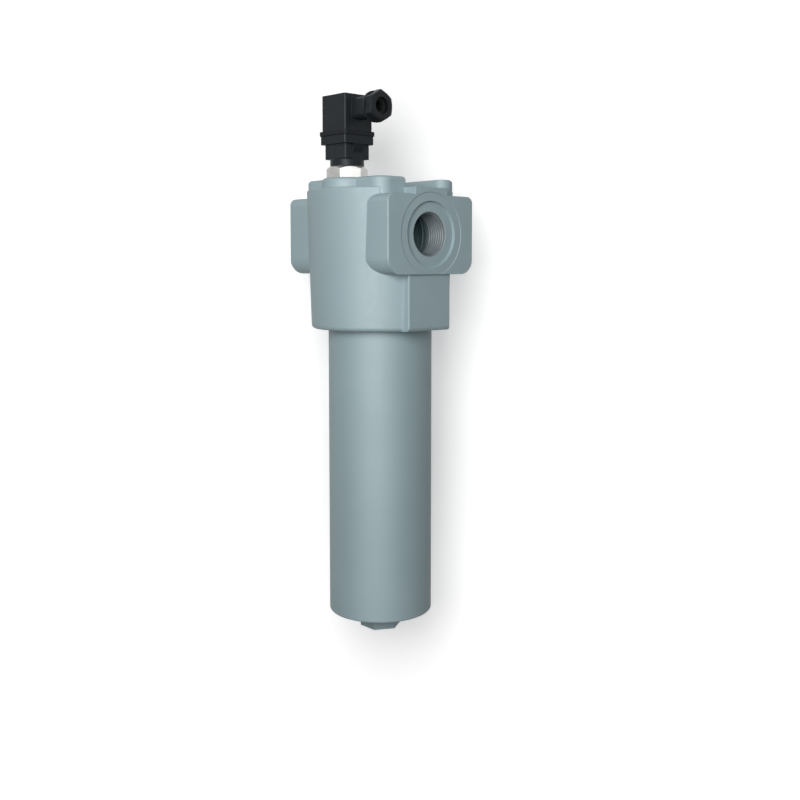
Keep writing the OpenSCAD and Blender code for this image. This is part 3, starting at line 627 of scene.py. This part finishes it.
def thread(name, tree, mouth, inward, radius, length, pitch, ridge):
    """A ridge that winds from a hole's mouth into its wall, and rides the head."""
    turns = length / pitch
    values = {
        "Radius": radius - ridge * RIDGE_INSET, "Length": length,
        "Turns": turns, "Steps": round(RIDGE_STEPS * turns),
        "Profile Radius": ridge, "Profile Sides": RIDGE_SIDES, "Finish": cut_metal,
    }
    ridge_piece = grow(name, tree, values, inward, mouth)
    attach(ridge_piece, "head")


def add_threads(tree):
    """Ridges in the two ports and in the four mounting holes."""
    length = PORT_LENGTH - 2 * PORT_LEAD_IN
    for name, side in (("inlet_port_thread", 1), ("outlet_port_thread", -1)):
        outward = ALONG_X * side
        mouth = outward * (PORT_MOUTH - PORT_LEAD_IN) + UP * PORT_AXIS.z
        thread(name, tree, mouth, -outward, PORT_RADIUS, length, PORT_PITCH, PORT_RIDGE)
    length = HOLE_DEPTH - HOLE_LEAD_IN
    corners = [(x, y) for x in (-HOLE_X, HOLE_X) for y in (-HOLE_Y, HOLE_Y)]
    for number, (x, y) in enumerate(corners, start=1):
        name = f"mount_thread_{number}"
        mouth = Vector((x, y, -HOLE_LEAD_IN))
        thread(name, tree, mouth, -UP, HOLE_RADIUS, length, HOLE_PITCH, HOLE_RIDGE)


def coil(name, tree, node, axis, turns, wire, joint):
    """A helical spring that fills its CAD node.
    """
    low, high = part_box(node)
    middle = (low + high) / 2
    across = Vector((1.0, 1.0, 1.0)) - axis
    length = (high - low).dot(axis)
    outer = max(reach * part for reach, part in zip(high - low, across)) / 2
    values = {
        "Radius": outer - wire / 2, "Length": length - wire,
        "Turns": turns, "Steps": round(WIRE_STEPS * turns),
        "Profile Radius": wire / 2, "Profile Sides": WIRE_SIDES, "Finish": spring_steel,
    }
    spring = grow(name, tree, values, axis, middle - axis * (length / 2 - wire / 2))
    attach(spring, "head")
    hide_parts(node)
    travel = JOINTS[joint]["range_m"][1]
    (length - travel) / length
    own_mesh(spring)


def add_springs(tree):
    """The spring behind the bypass poppet and the one over the indicator's piston."""
    coil("bypass_coil", tree, "bypass_spring", ALONG_X, BYPASS_TURNS, BYPASS_WIRE,
         "bypass_open")
    coil("indicator_coil", tree, "piston_spring", UP, INDICATOR_TURNS, INDICATOR_WIRE,
         "indicator_rise")


def toward_azimuth(azimuth, elevation=0.0):
    """Direction at this azimuth right of the camera and this elevation, in degrees."""
    turn = VIEW_AZIMUTH + math.radians(azimuth)
    rise = math.radians(elevation)
    level = math.cos(rise)
    return Vector((math.sin(turn) * level, -math.cos(turn) * level, math.sin(rise)))


def upright_board(name, middle, facing, width, height, material):
    """A flat upright board that belongs to the stage."""
    side = UP.cross(facing).normalized()
    reach = ((-1, -1), (1, -1), (1, 1), (-1, 1))
    corners = [middle + side * x * width / 2 + UP * y * height / 2 for x, y in reach]
    mesh = bpy.data.meshes.new(name)
    mesh.from_pydata(corners, [], [(0, 1, 2, 3)])
    mesh.materials.append(material)
    board = bpy.data.objects.new(name, mesh)
    bpy.context.scene.collection.objects.link(board)


def paper_finish():
    """Paper that glows, but less behind the object: a painted shadow there, which deepens the key
    lamp's real soft shadow.

    It is clear from behind and blocks no lamp.
    """
    finish = Finish("studio_paper")
    x, y, z = finish.axes()
    side = UP.cross(toward_azimuth(0.0))
    aside = x * side.x + y * side.y
    off_height = (z - MIDDLE_HEIGHT) * GLOW_FLATTEN
    off_object = (aside * aside + off_height * off_height) ** 0.5
    # Painted shadow: the glow falls off near the object's axis
    change = finish.ramp(off_object, *PAINTED_SHADOW_REACH)
    glow = finish.blend(change, PAINTED_SHADOW_GLOW, PAPER_GLOW_AROUND)
    path = finish.add("ShaderNodeLightPath")
    seen = path.number("Is Camera Ray") | path.number("Is Glossy Ray") * GLOW_MIRRORED
    back = finish.add("ShaderNodeNewGeometry").number("Backfacing")
    return finish.surface(
        Base_Color=finish.tone(srgb(206, 206, 206), srgb(210, 210, 210), 4.0),
        Roughness=1.0,
        Specular_IOR_Level=0.0,
        Emission_Color=finish.blend(seen, BLACK, glow),
        Emission_Strength=1.0,
        Alpha=1.0 - (back | path.number("Is Shadow Ray")),
    )


def flag_finish():
    """Black board beside the object: the object mirrors it, and the camera sees through it."""
    finish = Finish("studio_black")
    camera_ray = finish.add("ShaderNodeLightPath").number("Is Camera Ray")
    return finish.surface(
        Base_Color=finish.tone(srgb(20, 20, 20), srgb(26, 26, 26), 4.0),
        Roughness=1.0,
        Specular_IOR_Level=0.0,
        Alpha=1.0 - camera_ray,
    )


def add_boards():
    """A sheet of paper behind the object, and a black board on each side of it."""
    front = toward_azimuth(0.0)
    middle = UP * MIDDLE_HEIGHT - front * PAPER_GAP
    upright_board("studio_sheet", middle, front, PAPER_WIDTH, PAPER_WIDTH, paper_finish())
    black = flag_finish()
    flag_middle = UP * (FLAG_TOP - FLAG_HEIGHT / 2)
    for name, azimuth, distance, width in FLAGS:
        away = toward_azimuth(azimuth)
        upright_board(name, flag_middle + away * distance, -away, width, FLAG_HEIGHT, black)


def add_softbox(name, azimuth, elevation, level):
    """A round lamp. A level of 1 shows what faces it in its own colour."""
    toward = toward_azimuth(azimuth, elevation)
    data = bpy.data.lights.new(name, "AREA")
    data.shape = "DISK"
    data.size = LAMP_WIDTH
    data.energy = level * (math.pi * LAMP_DISTANCE) ** 2
    lamp = bpy.data.objects.new(name, data)
    lamp.location = LIT_PLACE + toward * LAMP_DISTANCE
    lamp.rotation_mode = "QUATERNION"
    lamp.rotation_quaternion = toward.to_track_quat("Z", "Y")
    bpy.context.scene.collection.objects.link(lamp)
    return lamp


def add_light():
    """White surroundings that light the object softly, a broad key in front and a lamp behind."""
    world = bpy.data.worlds.new("studio")
    bpy.context.scene.world = world
    world.use_nodes = True
    tree = Tree(world.node_tree)
    path = tree.add("ShaderNodeLightPath")
    seen = path.number("Is Camera Ray") | path.number("Is Glossy Ray")
    strength = tree.ramp(seen, 0.0, 1.0, AMBIENT, 1.0)
    sockets = {"Color": WHITE, "Strength": strength}
    background = tree.add("ShaderNodeBackground", sockets=sockets).out("Background")
    tree.add("ShaderNodeOutputWorld", sockets={"Surface": background})
    add_softbox("key", KEY_AZIMUTH, KEY_ELEVATION, KEY_LEVEL)
    back = add_softbox("back", BACK_AZIMUTH, BACK_ELEVATION, BACK_LEVEL)
    back.visible_glossy = False


def add_camera():
    """The photograph's camera: level across, and turned down a little."""
    data = bpy.data.cameras.new("photo_camera")
    camera = bpy.data.objects.new("photo_camera", data)
    bpy.context.scene.collection.objects.link(camera)
    toward = toward_azimuth(0.0)
    right = UP.cross(toward)
    camera.location = toward * VIEW_DISTANCE + right * VIEW_SIDE_STEP + UP * VIEW_HEIGHT
    ahead = -toward * math.cos(VIEW_PITCH) - UP * math.sin(VIEW_PITCH)
    camera.rotation_mode = "QUATERNION"
    camera.rotation_quaternion = ahead.to_track_quat("-Z", "Y")
    data.sensor_width = SENSOR_MM
    data.lens = VIEW_FOCAL_PX / PHOTO_PX * SENSOR_MM
    data.shift_y = (VIEW_CENTRE_PX - PHOTO_PX / 2) / PHOTO_PX
    data.clip_start, data.clip_end = CLIP_NEAR, CLIP_FAR
    bpy.context.scene.camera = camera


dress_nodes()
winding = winding_tree()
add_threads(winding)
add_springs(winding)
add_boards()
add_light()
add_camera()
bpy.context.scene.view_settings.view_transform = "Standard"
